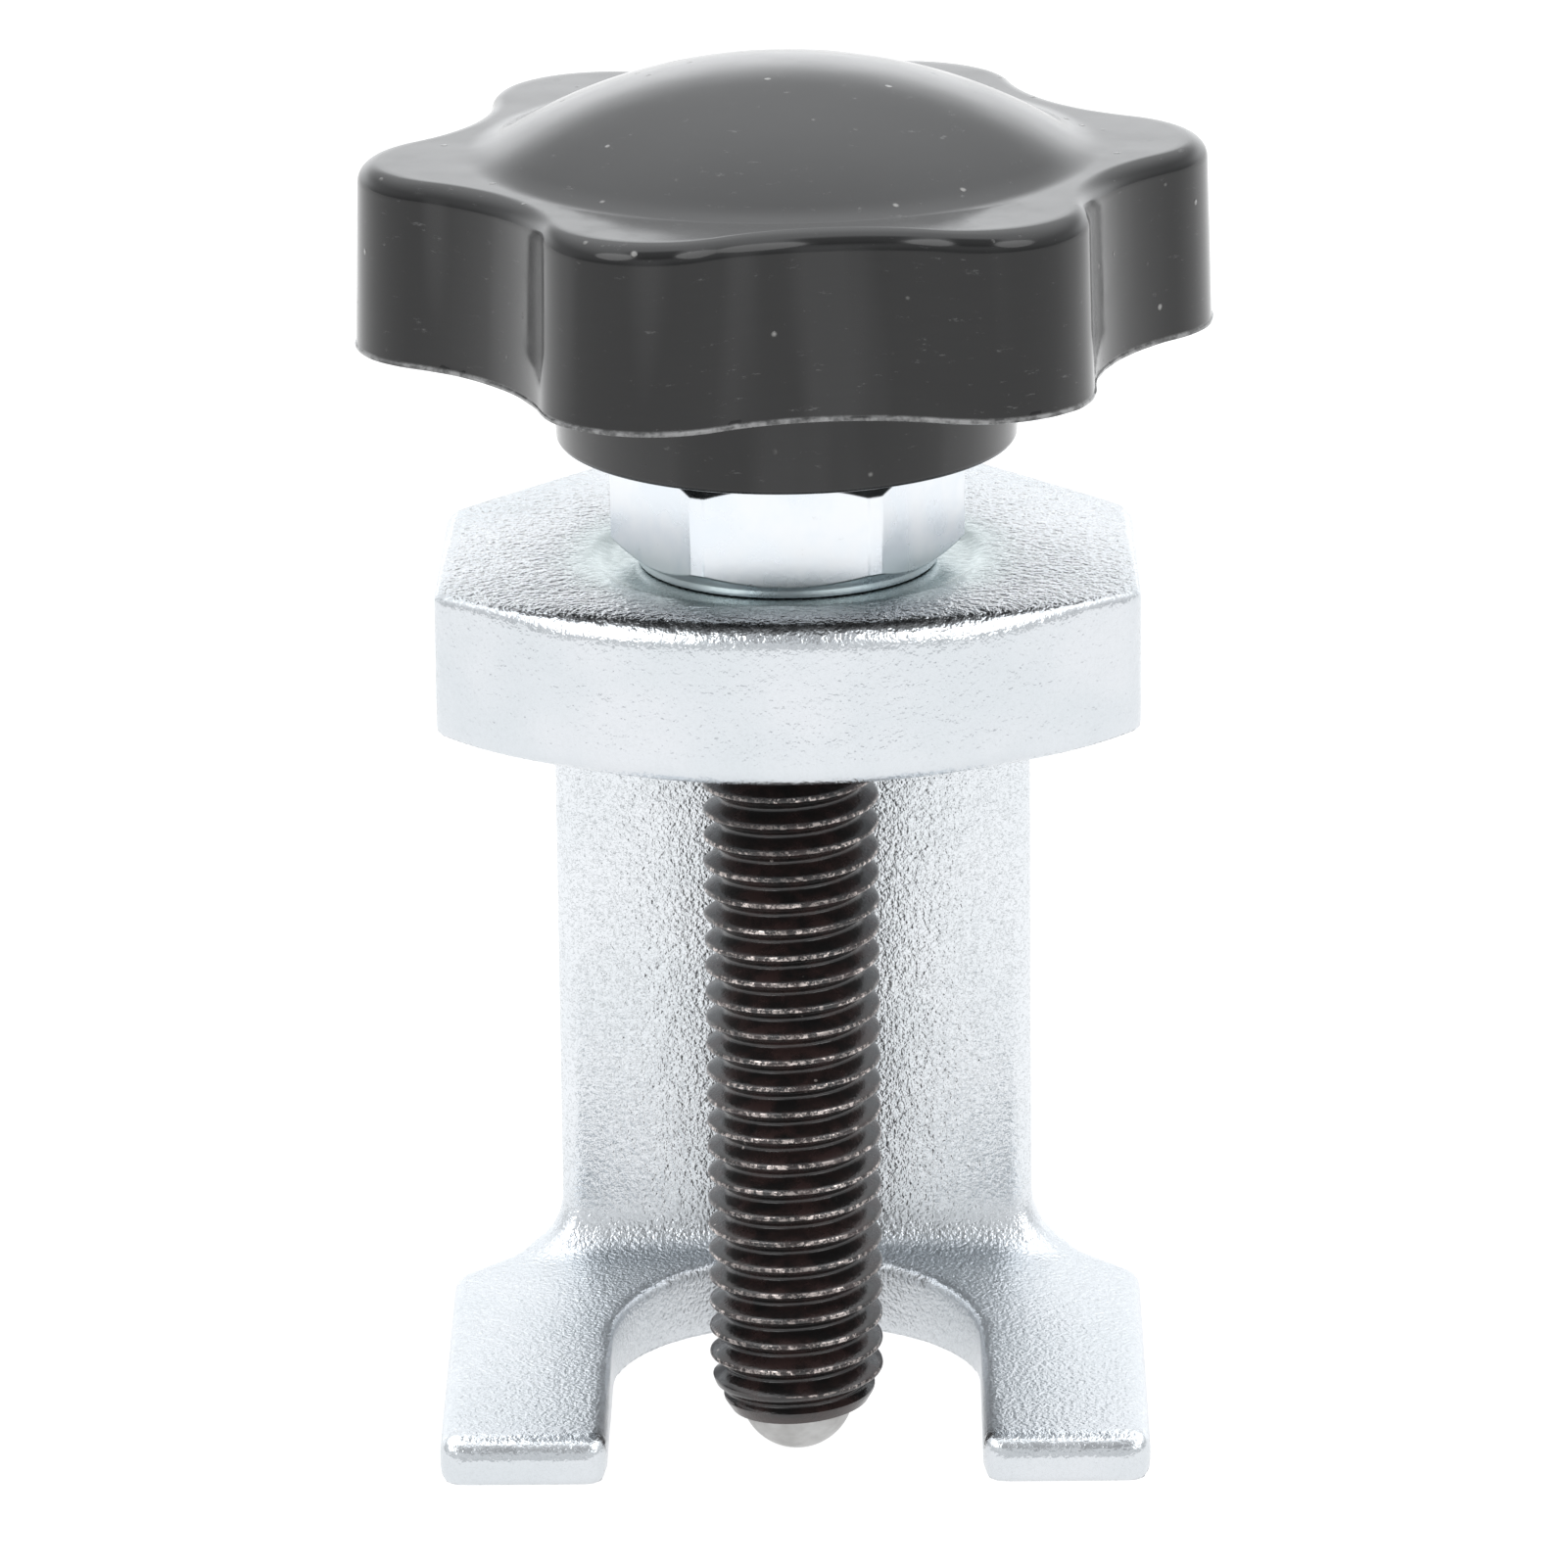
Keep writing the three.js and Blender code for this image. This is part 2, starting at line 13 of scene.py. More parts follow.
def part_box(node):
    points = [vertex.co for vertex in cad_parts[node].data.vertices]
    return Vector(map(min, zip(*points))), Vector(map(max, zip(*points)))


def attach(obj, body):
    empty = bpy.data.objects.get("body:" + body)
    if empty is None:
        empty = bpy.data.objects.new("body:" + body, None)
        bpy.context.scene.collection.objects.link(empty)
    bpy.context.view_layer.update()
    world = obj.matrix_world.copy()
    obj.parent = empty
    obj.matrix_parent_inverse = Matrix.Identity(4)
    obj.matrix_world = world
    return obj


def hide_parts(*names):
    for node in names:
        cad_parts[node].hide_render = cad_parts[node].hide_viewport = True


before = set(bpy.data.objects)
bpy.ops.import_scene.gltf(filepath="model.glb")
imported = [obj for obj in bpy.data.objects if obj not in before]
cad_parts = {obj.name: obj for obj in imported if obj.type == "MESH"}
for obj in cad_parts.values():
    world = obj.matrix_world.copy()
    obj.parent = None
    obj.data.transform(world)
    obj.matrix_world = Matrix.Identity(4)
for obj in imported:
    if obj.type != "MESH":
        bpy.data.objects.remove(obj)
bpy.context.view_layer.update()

MM = 0.001
SEED = 7

# ---------------------------------------------------------------- sizes taken from the CAD frame


def box_mm(node):
    """(low corner, high corner) of a CAD node in millimetres."""
    low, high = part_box(node)
    return np.array(low) / MM, np.array(high) / MM


frame_low, frame_high = box_mm("frame")
screw_low, screw_high = box_mm("pressure_screw")
ball_low, ball_high = box_mm("tip_ball")
nut_low, nut_high = box_mm("hex_nut")
knob_low, knob_high = box_mm("star_knob")
_, insert_high = box_mm("knob_insert")

FORK_Z = frame_low[2]
# The thread: PHASE, in turns, sets the height of its crests; PLAY is the clearance in a tapped hole.
PITCH = 1.5
PHASE = -0.42
CREST = 4.8
THREAD_DEPTH = 0.92
PLAY = 0.12

PLATE = dict(
    low=FORK_Z + 39.75, high=frame_high[2], half_width=19.0, corner_y=-6.1, front_y=frame_low[1],
    side_back_y=11.4, corner_radius=1.6, edge=1.1, spot_radius=10.2, spot_depth=0.25,
    crown=0.2, side_fall=0.6, wear=0.40, wear_width=2.2,
)
SPOT_Z = PLATE["high"] - PLATE["spot_depth"]
WEB = dict(
    half_width=13.3, front_y=12.04, back_y=frame_high[1], chamfer=2.9, corner_radius=1.2,
    fillet=2.7, front_fillet=1.5,
)
FORK = dict(
    half_width=frame_high[0], tip_y=-14.4, side_back_y=9.0, tip_thickness=2.65, slope=0.055,
    notch=10.2, corner_radius=1.2, side_radius=1.6, web_radius=1.0,
    edge=0.8, tip_edge=0.35, notch_edge=0.3, nose=1.3, nose_drop=1.05, sweep=0.45,
)
# The height of the fork's top where the web stands on it.
FOOT = FORK_Z + FORK["tip_thickness"] + FORK["slope"] * (WEB["front_y"] - FORK["tip_y"])
SCREW = dict(
    low=screw_low[2], high=screw_high[2], chamfer=0.9, slant=0.07,
    nose_radius=3.6, nose_length=2.4, nose_swell=0.12, lip=3.12, pocket=3.3,
)
NUT = dict(
    low=nut_low[2], high=nut_high[2], flats=nut_high[1] - nut_low[1],
    face=8.16, edge=9.58, washer=0.5, bevel=0.32,
)
KNOB = dict(
    lobes=6, lobe_angle=math.radians(6.9), tip=23.0, lobe_radius=6.1, valley=18.9,
    star_low=FORK_Z + 60.9, star_high=FORK_Z + 71.0, draft=0.12, edge=1.1,
    boss_base=12.7, boss_end=12.45, boss_edge=0.35, boss_fillet=0.8, dome_radius=16.1, dome_blend=0.9,
)

# ---------------------------------------------------------------- mesh helpers


def new_object(name, vertices, faces, smooth_angle=None):
    """A mesh object from points in millimetres."""
    mesh = bpy.data.meshes.new(name)
    mesh.from_pydata((np.asarray(vertices, float) * MM).tolist(), [], faces)
    mesh.validate()
    obj = bpy.data.objects.new(name, mesh)
    bpy.context.scene.collection.objects.link(obj)
    if smooth_angle is not None:
        shade(obj, smooth_angle)
    return obj


def shade(obj, degrees):
    """Smooth shading, with edges sharper than the angle kept crisp."""
    obj.data.shade_smooth()
    obj.data.set_sharp_from_angle(angle=math.radians(degrees))


def weigh_normals(obj):
    """Keeps large flat faces flat right up to their rounded edges."""
    modifier = obj.modifiers.new("flat_faces", "WEIGHTED_NORMAL")
    modifier.keep_sharp = True
    modifier.weight = 100
    apply_modifiers(obj)


def apply_modifiers(obj):
    """Bakes the object's modifiers into its mesh."""
    graph = bpy.context.evaluated_depsgraph_get()
    mesh = bpy.data.meshes.new_from_object(obj.evaluated_get(graph))
    obj.modifiers.clear()
    old = obj.data
    obj.data = mesh
    bpy.data.meshes.remove(old)


def boolean(obj, other, operation):
    """Joins, cuts or intersects obj with other, which is used up."""
    modifier = obj.modifiers.new("cut", "BOOLEAN")
    modifier.operation = operation
    modifier.object = other
    modifier.solver = "EXACT"
    apply_modifiers(obj)
    bpy.data.objects.remove(other)


def ring_faces(rings, count, first=0):
    """Quads between rings of count points each, numbered from first."""
    faces = []
    for ring in range(rings - 1):
        for i in range(count):
            a = first + ring * count + i
            b = first + ring * count + (i + 1) % count
            faces.append((a, b, b + count, a + count))
    return faces


def capped_faces(rings, count):
    """Quads between rings, closed by fans to a first point below them and a last point above."""
    faces = ring_faces(rings, count, first=1)
    top = 1 + (rings - 1) * count
    last = top + count
    for i in range(count):
        j = (i + 1) % count
        faces.append((0, 1 + j, 1 + i))
        faces.append((last, top + i, top + j))
    return faces


def loft(name, rings):
    """A closed solid through rings of points, lowest first, anticlockwise from above."""
    count = len(rings[0])
    faces = ring_faces(len(rings), count)
    faces.append(tuple(range(count - 1, -1, -1)))
    top = (len(rings) - 1) * count
    faces.append(tuple(range(top, top + count)))
    return new_object(name, np.concatenate(rings), faces)


def revolve(name, profile, steps=96, smooth_angle=30):
    """A solid of revolution round Z from [radius, z] pairs that start and end on the axis."""
    angles = np.linspace(0, 2 * math.pi, steps, endpoint=False)
    vertices = [(0, 0, profile[0][1])]
    for radius, z in profile[1:-1]:
        vertices.extend((radius * math.cos(a), radius * math.sin(a), z) for a in angles)
    vertices.append((0, 0, profile[-1][1]))
    return new_object(name, vertices, capped_faces(len(profile) - 2, steps), smooth_angle)


def round_corners(corners, steps=6):
    """Rounds the corners of an outline of (x, y, radius) entries; radius 0 leaves a corner sharp."""
    points = []
    for i, (x, y, radius) in enumerate(corners):
        corner = Vector((x, y))
        if radius == 0:
            points.append(corner)
            continue
        back = (Vector(corners[i - 1][:2]) - corner).normalized()
        ahead = (Vector(corners[(i + 1) % len(corners)][:2]) - corner).normalized()
        half = math.acos(max(-1, min(1, back.dot(ahead)))) / 2
        centre = corner + (back + ahead).normalized() * (radius / math.sin(half))
        start = corner + back * (radius / math.tan(half)) - centre
        side = ahead.x * back.y - ahead.y * back.x
        turn = math.copysign(math.pi - 2 * half, side)
        points.extend(centre + Matrix.Rotation(turn * k / steps, 2) @ start for k in range(steps + 1))
    return np.array([tuple(p) for p in points])


def arc(centre_y, radius, start, end, steps):
    """Points on an arc about (0, centre_y), without its two ends, as sharp corners."""
    angles = np.linspace(start, end, steps + 1)[1:-1]
    return [(radius * math.cos(a), centre_y + radius * math.sin(a), 0) for a in angles]


def inset(outline, amount):
    """Moves an anticlockwise outline inwards; amount is one number or one for each point."""
    into = outline - np.roll(outline, 1, 0)
    out = np.roll(outline, -1, 0) - outline
    into /= np.linalg.norm(into, axis=1)[:, None]
    out /= np.linalg.norm(out, axis=1)[:, None]
    mitre = np.stack([-into[:, 1] - out[:, 1], into[:, 0] + out[:, 0]], 1)
    mitre /= (1 + (into * out).sum(1))[:, None]
    return outline + mitre * np.broadcast_to(amount, len(outline))[:, None]


def rounded_slab(name, outline, low_at, high_at, edge, steps=6):
    """A slab with quarter-round edges; low_at and high_at give its faces' heights."""
    rings = []
    for high in (False, True):
        for k in range(steps + 1) if not high else range(steps, -1, -1):
            angle = math.pi / 2 * k / steps
            points = inset(outline, edge * (1 - math.sin(angle)))
            lift = edge * (1 - math.cos(angle))
            z = high_at(points) - lift if high else low_at(points) + lift
            rings.append(np.column_stack([points, z]))
    return loft(name, rings)


def smoothstep(low, high, value):
    """0 below low, 1 above high and a smooth rise between."""
    t = np.clip((value - low) / (high - low), 0, 1)
    return t * t * (3 - 2 * t)


# ---------------------------------------------------------------- threads


def thread_rows(crest, depth):
    """One pitch of the thread's section as (radius, share of pitch), with rounded crest and root."""
    shares = [0.0, 0.05, 0.10, 0.1475, 0.195, 0.245, 0.29, 0.40, 0.50, 0.575, 0.62, 0.66, 0.715, 0.78, 0.90]
    rows = []
    for share in shares:
        distance = abs((share - 0.6475 + 0.5) % 1 - 0.5)
        flank = np.clip((distance - 0.055) / 0.36, 0, 1)
        rows.append((crest - depth * float(0.35 * smoothstep(0.05, 0.5, distance) + 0.65 * flank), share))
    return rows


def threaded_rod(name, low, high, crest, depth, envelope=None, steps=72, slant=0.0):
    """A right-hand thread cut at low and high; envelope(z) caps its radius and slant tips its low end."""
    section = thread_rows(crest, depth)
    first, last = math.floor(low / PITCH) - 2, math.ceil(high / PITCH) + 1
    rows = [(r, (turn + share + PHASE) * PITCH) for turn in range(first, last) for r, share in section]
    rows.append((section[0][0], (last + PHASE) * PITCH))
    radius = np.array([r for r, _ in rows])
    height = np.array([z for _, z in rows])
    angles = np.linspace(0, 2 * math.pi, steps, endpoint=False)
    z = height[None, :] + (PITCH * np.arange(steps) / steps)[:, None]
    r = np.broadcast_to(radius, z.shape).copy()
    if envelope is not None:
        r = np.minimum(r, envelope(z))
    vertices = np.stack([r * np.cos(angles)[:, None], r * np.sin(angles)[:, None], z], -1).reshape(-1, 3)
    count, turn = len(rows), len(section)
    faces = []
    for column in range(steps):
        for row in range(count - 1):
            a = column * count + row
            if column + 1 < steps:
                b = (column + 1) * count + row
            elif row + 1 + turn < count:
                b = row + turn
            else:
                continue
            faces.append((a, b, b + 1, a + 1))
    obj = new_object(name, vertices, faces)
    mesh = bmesh.new()
    mesh.from_mesh(obj.data)
    for level, normal in ((low + slant * crest, (slant, 0, -1)), (high, (0, 0, 1))):
        everything = mesh.verts[:] + mesh.edges[:] + mesh.faces[:]
        bmesh.ops.bisect_plane(
            mesh, geom=everything, plane_co=(0, 0, level * MM), plane_no=normal, clear_outer=True
        )
    mesh.to_mesh(obj.data)
    mesh.free()
    return obj


def fill_ends(obj):
    """Closes the open ends of a rod with flat faces."""
    mesh = bmesh.new()
    mesh.from_mesh(obj.data)
    bmesh.ops.remove_doubles(mesh, verts=mesh.verts[:], dist=1e-7)
    bmesh.ops.holes_fill(mesh, edges=[e for e in mesh.edges if e.is_boundary], sides=0)
    bmesh.ops.recalc_face_normals(mesh, faces=mesh.faces[:])
    mesh.to_mesh(obj.data)
    mesh.free()


def cut_tapped_hole(obj, low, high, chamfer):
    """Cuts a threaded hole for the screw through obj between two levels, with a chamfer at each mouth."""
    tap = threaded_rod("tap", low - 0.6, high + 0.6, CREST + PLAY, THREAD_DEPTH, steps=48)
    fill_ends(tap)
    boolean(obj, tap, "DIFFERENCE")
    reach = CREST + PLAY + chamfer
    bore = reach - 1.2
    for level, way in ((low, -1), (high, 1)):
        profile = [
            (0, level - way * (reach - bore)), (bore, level - way * (reach - bore)),
            (reach + 1, level + way), (0, level + way),
        ]
        boolean(obj, revolve("mouth", profile if way > 0 else profile[::-1]), "DIFFERENCE")


# ---------------------------------------------------------------- forged frame


def front_radius():
    """The radius of the arc along the front of the boss plate."""
    sagitta = PLATE["corner_y"] - PLATE["front_y"]
    return (PLATE["half_width"]**2 + sagitta**2) / (2 * sagitta)


def make_plate():
    """The boss plate, with its edge almost sharp at the two front corners."""
    half, corner_y, front_y = PLATE["half_width"], PLATE["corner_y"], PLATE["front_y"]
    radius = front_radius()
    spread = math.asin(half / radius)
    back_corner = half - (WEB["back_y"] - PLATE["side_back_y"])
    soft = PLATE["corner_radius"]
    outline = round_corners([
        (-half, corner_y, soft),
        *arc(front_y + radius, radius, -math.pi / 2 - spread, -math.pi / 2 + spread, 24),
        (half, corner_y, soft),
        (half, PLATE["side_back_y"], soft),
        (back_corner, WEB["back_y"], soft),
        (-back_corner, WEB["back_y"], soft),
        (-half, PLATE["side_back_y"], soft),
    ])
    front_corner = smoothstep(10, 18, np.abs(outline[:, 0])) * (outline[:, 1] < 0)
    return rounded_slab(
        "plate", outline,
        lambda points: np.full(len(points), PLATE["low"]),
        lambda points: np.full(len(points), PLATE["high"]),
        PLATE["edge"] * (1 - 0.8 * front_corner),
    )


def make_fork():
    """The fork, wedge-shaped from its tips back to the web's back face."""
    side, tip, notch = FORK["half_width"], FORK["tip_y"], FORK["notch"]
    meet_y = FORK["side_back_y"] + side - WEB["half_width"]
    right = [
        (side, tip, FORK["corner_radius"]),
        (side, FORK["side_back_y"], FORK["side_radius"]),
        (WEB["half_width"], meet_y, FORK["web_radius"]),
        (WEB["half_width"], WEB["back_y"] - WEB["chamfer"], WEB["corner_radius"]),
        (WEB["half_width"] - WEB["chamfer"], WEB["back_y"], WEB["corner_radius"]),
    ]
    outline = round_corners([
        (-notch, tip, FORK["corner_radius"]),
        (-notch, 0, 0),
        *arc(0, notch, math.pi, 0, 36),
        (notch, 0, 0),
        (notch, tip, FORK["corner_radius"]),
        *right,
        *[(-x, y, r) for x, y, r in reversed(right)],
    ])
    in_notch = (np.abs(outline[:, 0]) < notch + 0.1) & (outline[:, 1] > tip + 2)
    edge = np.where(in_notch, FORK["notch_edge"], FORK["edge"])
    edge = np.where(outline[:, 1] < tip + 0.8, FORK["tip_edge"], edge)
    return rounded_slab(
        "fork", outline,
        lambda points: np.full(len(points), FORK_Z),
        lambda points: FORK_Z + FORK["tip_thickness"] + FORK["slope"] * (points[:, 1] - tip),
        edge,
    )


def make_web():
    """The web, flared at its foot and head by concave fillets that stay inside the fork and the plate."""
    half, back_y, chamfer, soft = WEB["half_width"], WEB["back_y"], WEB["chamfer"], WEB["corner_radius"]
    outline = round_corners([
        (-half, WEB["front_y"], soft), (half, WEB["front_y"], soft),
        (half, back_y - chamfer, soft), (half - chamfer, back_y, soft),
        (chamfer - half, back_y, soft), (-half, back_y - chamfer, soft),
    ])
    fillet = WEB["fillet"]
    turns = np.linspace(0, math.pi / 2, 10)
    stations = [(FOOT - 1, 1.0)]
    stations += [(FOOT + fillet * (1 - math.cos(a)), 1 - math.sin(a)) for a in turns]
    stations += [(PLATE["low"] - fillet * (1 - math.cos(a)), 1 - math.sin(a)) for a in turns[::-1]]
    stations.append((PLATE["low"] + 1, 1.0))
    rings = []
    for z, flare in stations:
        ring = inset(outline, -fillet * flare)
        ring[:, 1] = np.clip(ring[:, 1], WEB["front_y"] - WEB["front_fillet"] * flare, back_y)
        limit = half + back_y - chamfer - ring[:, 1]
        if z < PLATE["low"] / 2:
            fork_side = FORK["half_width"] + FORK["side_back_y"] - ring[:, 1]
            limit = np.minimum(limit, np.maximum(half, fork_side))
        ring[:, 0] = np.clip(ring[:, 0], -limit, limit)
        rings.append(np.column_stack([ring, np.full(len(ring), z)]))
    return loft("web", rings)


def make_frame():
    """The forging: plate, fork and web merged into one skin, then finished and tapped."""
    body = join("forging", [make_plate(), make_fork(), make_web()])
    remesh = body.modifiers.new("merge", "REMESH")
    remesh.mode = "VOXEL"
    remesh.voxel_size = 0.30 * MM
    smooth = body.modifiers.new("settle", "SMOOTH")
    smooth.factor = 0.5
    smooth.iterations = 4
    apply_modifiers(body)
    shape_forging(body)
    cut_tapped_hole(body, PLATE["low"] - 0.2, SPOT_Z, 0.5)
    shade(body, 50)
    return body


def join(name, objects):
    """One object that holds all the meshes given."""
    merged = bmesh.new()
    for obj in objects:
        merged.from_mesh(obj.data)
        bpy.data.objects.remove(obj)
    mesh = bpy.data.meshes.new(name)
    merged.to_mesh(mesh)
    merged.free()
    obj = bpy.data.objects.new(name, mesh)
    bpy.context.scene.collection.objects.link(obj)
    return obj


def shape_forging(body):
    """Gives the merged frame a forging's uneven form, then faces the spot under the nut."""
    points = np.empty(len(body.data.vertices) * 3)
    body.data.vertices.foreach_get("co", points)
    points = points.reshape(-1, 3) / MM
    crown_plate(points)
    blunt_noses(points)
    sweep_fork(points)
    face_spot(points)
    body.data.vertices.foreach_set("co", (points * MM).ravel())
    body.data.update()


def crown_plate(points):
    """Swells the boss plate towards its middle and wears down its front edge."""
    x, y, z = points.T
    half = (PLATE["high"] - PLATE["low"]) / 2
    from_middle = np.clip((z - (PLATE["low"] + PLATE["high"]) / 2) / half, -1, 1)
    share = from_middle * smoothstep(PLATE["low"] - 4, PLATE["low"], z)
    crown = PLATE["crown"] - PLATE["side_fall"] * np.clip(x / PLATE["half_width"], -1, 1) ** 2
    inward = front_radius() - np.hypot(x, y - PLATE["front_y"] - front_radius())
    worn = np.clip(1 - inward / PLATE["wear_width"], 0, 1) ** 2 * (1 - 0.9 * smoothstep(9, 17, np.abs(x)))
    z += share * crown
    z -= PLATE["wear"] * worn * np.maximum(share, 0) * (y < 0)


def blunt_noses(points):
    """Rounds the upper edge of each tine's front end."""
    _, y, z = points.T
    reach = np.clip(1 - (y - FORK["tip_y"]) / FORK["nose"], 0, 1)
    rise = np.clip((z - FORK_Z) / FORK["tip_thickness"], 0, 1) * (z < PLATE["low"] / 2)
    z -= rise**2 * FORK["nose_drop"] * (1 - np.sqrt(1 - reach**2 * 0.98))


def sweep_fork(points):
    """Lifts the fork's top towards the web's foot in a hollow curve that fades out near its sides."""
    x, y, z = points.T
    sweep = FORK["sweep"] * smoothstep(0, 12, y) * smoothstep(-16, -11, -np.abs(x))
    sweep *= np.clip((z - FORK_Z) / (FOOT - FORK_Z), 0, 1)
    z += sweep * (1 - smoothstep(FOOT + 2, FOOT + 12, z))


def face_spot(points):
    """Cuts the flat spot on the plate that the nut is tightened against."""
    x, y, z = points.T
    sink = np.maximum(z - SPOT_Z, 0)
    sink *= 1 - smoothstep(PLATE["spot_radius"] - 0.3, PLATE["spot_radius"] + 0.5, np.hypot(x, y))
    z -= np.where(z > (PLATE["low"] + PLATE["high"]) / 2, sink, 0)


# ---------------------------------------------------------------- screw, ball and nut


def make_screw():
    """The pressure screw: a tapered nose with a socket for the ball, and a chamfered top end."""
    low, high, lip, pocket = SCREW["low"], SCREW["high"], SCREW["lip"], SCREW["pocket"]
    nose_radius = SCREW["nose_radius"]

    def envelope(z):
        share = np.clip((z - low) / SCREW["nose_length"], 0, 1)
        swell = SCREW["nose_swell"] * np.sin(math.pi * share)
        nose = nose_radius + (CREST - nose_radius) * share + swell
        tail = CREST - SCREW["chamfer"] + np.maximum(high - z, 0)
        return np.minimum(nose, tail)

    rod = threaded_rod(
        "pressure_screw_thread", low, high, CREST, THREAD_DEPTH, envelope, slant=SCREW["slant"]
    )
    fill_ends(rod)
    pocket_top = ball_high[2] + 0.15
    profile = [
        (0, low - 1), (lip + 0.25, low - 1), (lip + 0.15, low), (lip, low + 0.12), (pocket, low + 0.6),
        (pocket, pocket_top), (0, pocket_top + pocket / 2),
    ]
    boolean(rod, revolve("pocket", profile), "DIFFERENCE")
    shade(rod, 40)
    return rod


def make_ball():
    """A ball with the slightly flattened contact spot that use leaves."""
    radius = (ball_high[0] - ball_low[0]) / 2
    centre = (ball_low[2] + ball_high[2]) / 2
    steps = 64
    angles = np.linspace(-math.pi / 2, math.pi / 2, steps + 1)
    profile = [(radius * math.cos(a), centre + max(radius * math.sin(a), -radius + 0.012)) for a in angles]
    profile[0], profile[-1] = (0, profile[0][1]), (0, profile[-1][1])
    return revolve("tip_ball_ground", profile, 2 * steps, 60)


def make_nut():
    """The jam nut, turned to a chamfer at both ends, with a washer face below."""
    low, high, face, edge, washer = (NUT[key] for key in ("low", "high", "face", "edge", "washer"))
    corner = NUT["flats"] / 2 / math.cos(math.pi / 6)
    angles = np.arange(6) * math.pi / 3
    hexagon = np.stack([corner * np.cos(angles), corner * np.sin(angles)], 1)
    nut = loft("hex_nut_zinc", [np.column_stack([hexagon, np.full(6, z)]) for z in (low, high)])
    chamfer = (edge - face) * math.tan(math.radians(30))
    profile = [
        (0, low), (face - 0.1, low), (face, low + washer / 2), (face + 0.02, low + washer),
        (edge, low + washer + chamfer), (edge, high - chamfer), (face, high), (0, high),
    ]
    boolean(nut, revolve("nut_turning", profile, 180), "INTERSECT")
    bevel = nut.modifiers.new("soft_edges", "BEVEL")
    bevel.width = NUT["bevel"] * MM
    bevel.segments = 3
    bevel.limit_method = "ANGLE"
    bevel.angle_limit = math.radians(24)
    apply_modifiers(nut)
    cut_tapped_hole(nut, low, high, 0.3)
    shade(nut, 32)
    weigh_normals(nut)
    return nut


# ---------------------------------------------------------------- star knob


def star_radius(angles):
    """The star's radius in each direction, from lobe arcs and valley arcs that meet tangentially."""
    half = math.pi / KNOB["lobes"]
    lobe, valley = KNOB["lobe_radius"], KNOB["valley"]
    reach = KNOB["tip"] - lobe
    along = reach * math.cos(half)
    scoop = (reach**2 + valley**2 - 2 * along * valley - lobe**2) / (2 * (lobe - valley + along))
    centre = valley + scoop
    slant = math.atan2(centre * math.sin(half), centre * math.cos(half) - reach)
    touch_x, touch_y = reach + lobe * math.cos(slant), lobe * math.sin(slant)
    touch = math.atan2(touch_y, touch_x)
    local = np.abs((angles - KNOB["lobe_angle"] + half) % (2 * half) - half)
    on_lobe = reach * np.cos(local) + np.sqrt(np.maximum(lobe**2 - (reach * np.sin(local)) ** 2, 0))
    across = centre * np.sin(half - local)
    on_valley = centre * np.cos(half - local) - np.sqrt(np.maximum(scoop**2 - across**2, 0))
    return np.where(local < touch, on_lobe, on_valley)


def dome_height(radius):
    """Height of the dome's sphere at a distance from the axis."""
    rise = knob_high[2] - KNOB["star_high"]
    sphere = (KNOB["dome_radius"]**2 + rise**2) / (2 * rise)
    centre_z = knob_high[2] - sphere
    return centre_z + np.sqrt(np.maximum(sphere**2 - radius**2, 0))


def top_height(radius):
    """Height of the knob's top: the dome, a hollow fillet, then the flat star."""
    dome, blend = KNOB["dome_radius"], KNOB["dome_blend"]
    on_dome = dome_height(np.minimum(radius, dome))
    start = dome_height(dome - blend)
    slope = (start - dome_height(dome - blend - 0.01)) / 0.01
    t = np.clip((radius - (dome - blend)) / (2 * blend), 0, 1)
    hermite = start * (2 * t**3 - 3 * t**2 + 1) + slope * 2 * blend * (t**3 - 2 * t**2 + t)
    hermite += KNOB["star_high"] * (3 * t**2 - 2 * t**3)
    return np.where(radius < dome - blend, on_dome, hermite)


def top_rings(star):
    """(radius, height) rings from the crown of the dome out over the star's rounded rim."""
    edge = KNOB["edge"]
    inner = KNOB["dome_radius"] - KNOB["dome_blend"] - 0.3
    rings = [(radius, top_height(np.full(len(star), radius))) for radius in np.linspace(0.6, inner, 22)]
    rim = star - KNOB["draft"] - edge
    for t in np.linspace(0, 1, 18)[1:]:
        radius = inner + (rim - inner) * t
        rings.append((radius, top_height(radius)))
    rim_z = top_height(rim)
    for angle in np.linspace(0, math.pi / 2, 9)[1:]:
        rings.append((rim + edge * math.sin(angle), rim_z - edge + edge * math.cos(angle)))
    return rings


def side_rings(star):
    """Down the star's drafted sides to a thin ragged lip, the flash left by the mould."""
    low, high, draft = KNOB["star_low"], KNOB["star_high"] - KNOB["edge"], KNOB["draft"]
    shares = (0.25, 0.5, 0.75, 0.93, 0.968)
    rings = [(star - draft + 2 * draft * t, high * (1 - t) + low * t) for t in shares]
    count = len(star)
    ragged = np.tile(np.random.default_rng(SEED).normal(0, 1, count), 3)
    burr = np.convolve(ragged, np.hanning(9) / 4.5, "same")[count : 2 * count]
    burr = 0.10 + 0.07 * np.clip(burr, -1.2, 2.2)
    rings.append((star + draft + burr, low + 0.22))
    rings.append((star + draft + burr * 0.8, low + 0.08))
    rings.append((star + draft - 0.15, low))
    return rings


